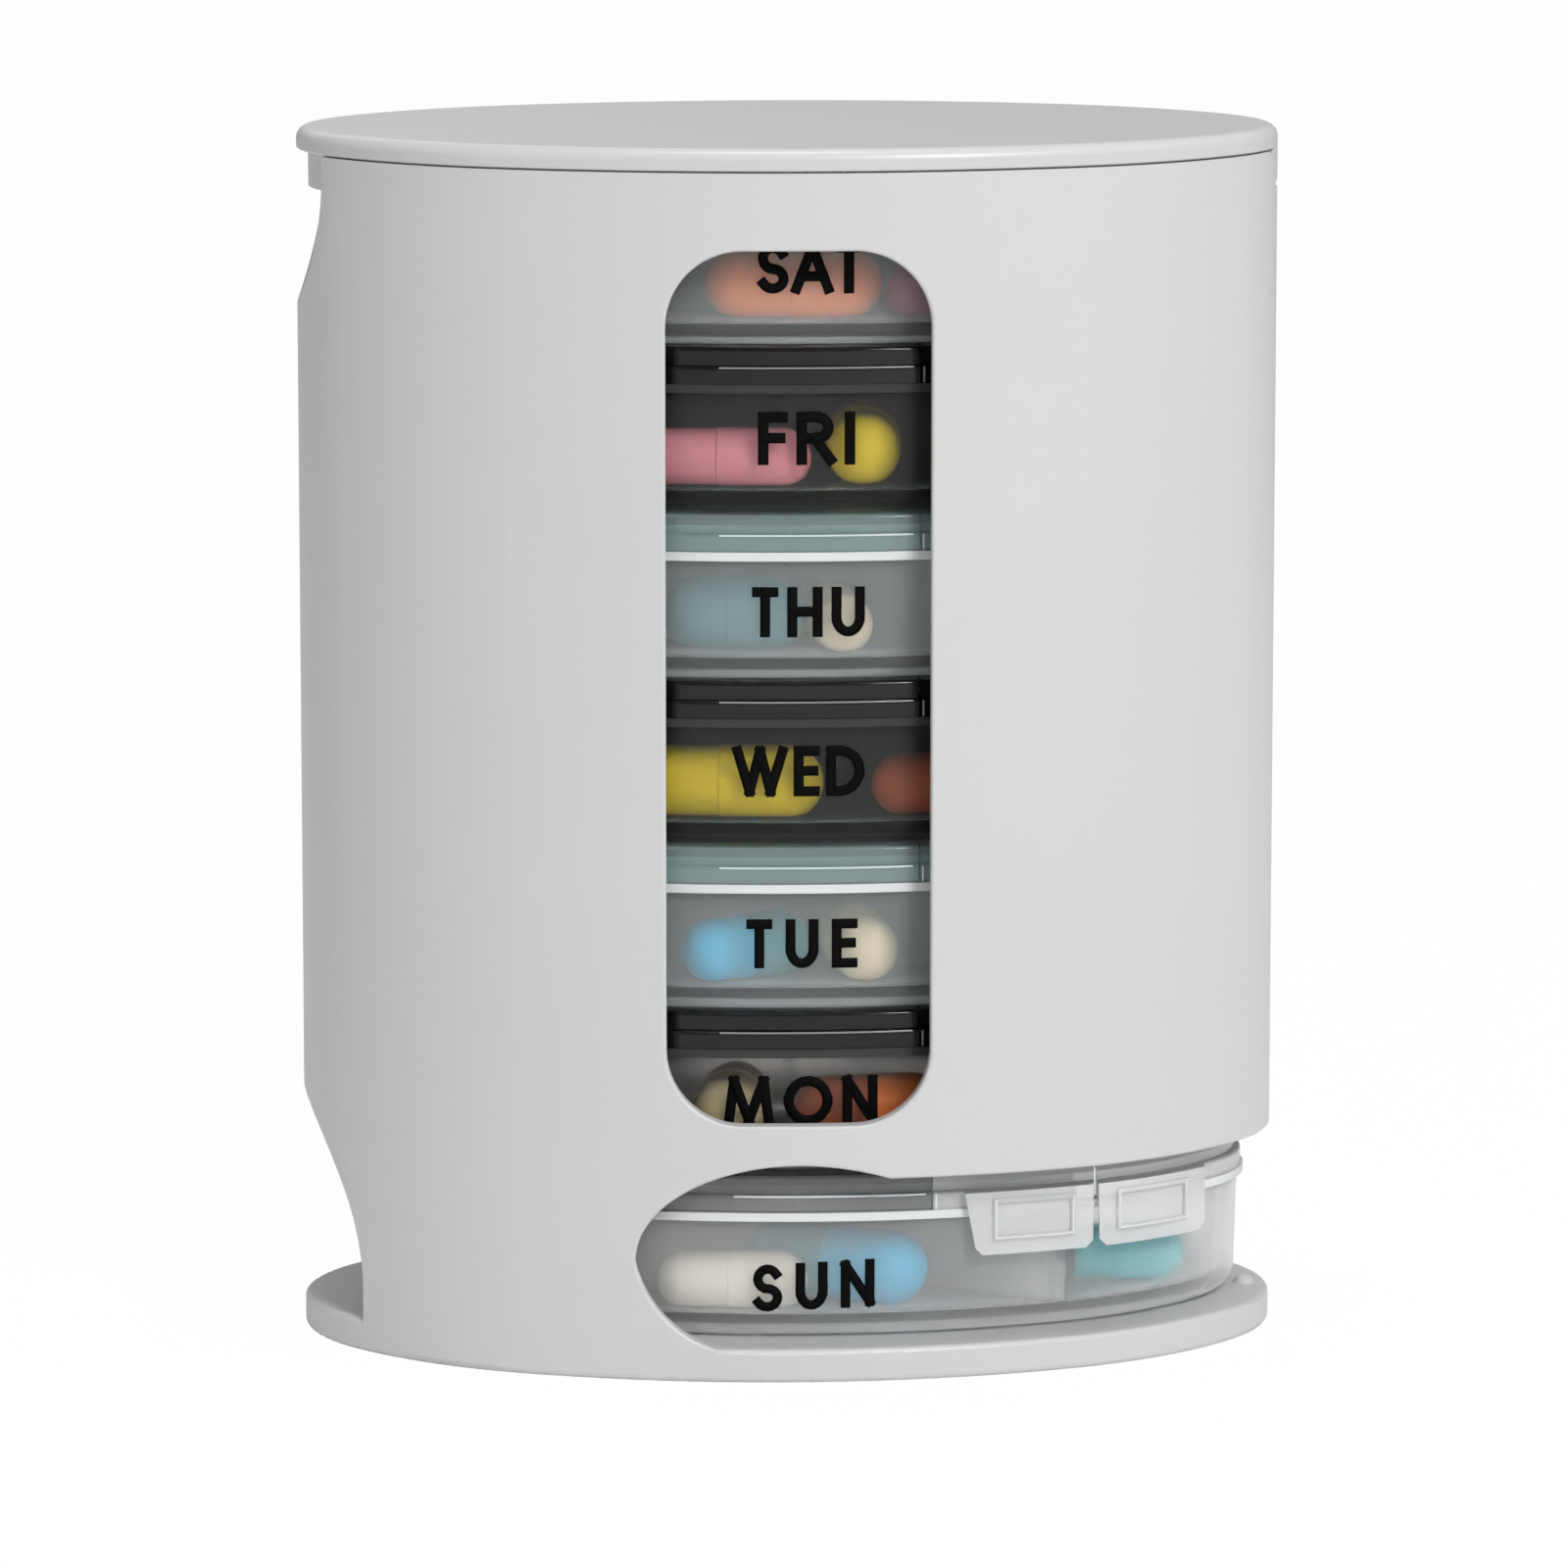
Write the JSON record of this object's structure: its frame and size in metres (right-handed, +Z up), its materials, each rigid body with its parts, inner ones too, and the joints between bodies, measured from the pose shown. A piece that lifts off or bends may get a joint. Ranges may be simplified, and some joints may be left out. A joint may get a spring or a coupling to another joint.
{
  "type": "weekly pill organizer",
  "caption": "Oval pill organizer tower with a hinged top lid, a front window and a stack of slide-out trays with flapped compartments.",
  "frame": {"origin": "centre of the base's flat underside", "axes": "+Z up, +X along the oval's long axis towards the end where the lowest tray slides out, -Y towards the window"},
  "size_m": [0.1076, 0.066, 0.1337],
  "materials": {
    "shell": "satin moulded light grey",
    "lid": "satin moulded light grey",
    "tray_clear": "frosted clear",
    "tray_smoke": "frosted smoke grey",
    "cover_clear": "clear, lightly frosted",
    "cover_smoke": "smoke grey, lightly frosted"
  },
  "bodies": {
    "tower": {"tower": "shell", "mon_tray": "tray_smoke", "mon_deck": "cover_smoke", "mon_flap_front": "cover_smoke", "mon_flap_right": "cover_smoke", "mon_flap_back": "cover_smoke", "mon_flap_left": "cover_smoke", "tue_tray": "tray_clear", "tue_deck": "cover_clear", "tue_flap_front": "cover_clear", "tue_flap_right": "cover_clear", "tue_flap_back": "cover_clear", "tue_flap_left": "cover_clear", "wed_tray": "tray_smoke", "wed_deck": "cover_smoke", "wed_flap_front": "cover_smoke", "wed_flap_right": "cover_smoke", "wed_flap_back": "cover_smoke", "wed_flap_left": "cover_smoke", "thu_tray": "tray_clear", "thu_deck": "cover_clear", "thu_flap_front": "cover_clear", "thu_flap_right": "cover_clear", "thu_flap_back": "cover_clear", "thu_flap_left": "cover_clear", "fri_tray": "tray_smoke", "fri_deck": "cover_smoke", "fri_flap_front": "cover_smoke", "fri_flap_right": "cover_smoke", "fri_flap_back": "cover_smoke", "fri_flap_left": "cover_smoke", "sat_tray": "tray_clear", "sat_deck": "cover_clear", "sat_flap_front": "cover_clear", "sat_flap_right": "cover_clear", "sat_flap_back": "cover_clear", "sat_flap_left": "cover_clear"},
    "lid": {"top_lid": "lid"},
    "sun_tray": {"sun_tray": "tray_clear", "sun_deck": "cover_clear", "sun_flap_front": "cover_clear", "sun_flap_right": "cover_clear", "sun_flap_back": "cover_clear", "sun_flap_left": "cover_clear"}
  },
  "joints": [
    {"name": "lid_hinge", "type": "hinge", "parent": "tower", "child": "lid", "pos_m": [0.05185, 0, 0.12915], "axis": [0, 1, 0], "range_deg": [0, 95]},
    {"name": "sun_tray_slide", "type": "slide", "parent": "tower", "child": "sun_tray", "axis": [1, 0, 0], "range_m": [0, 0.105]}
  ]
}
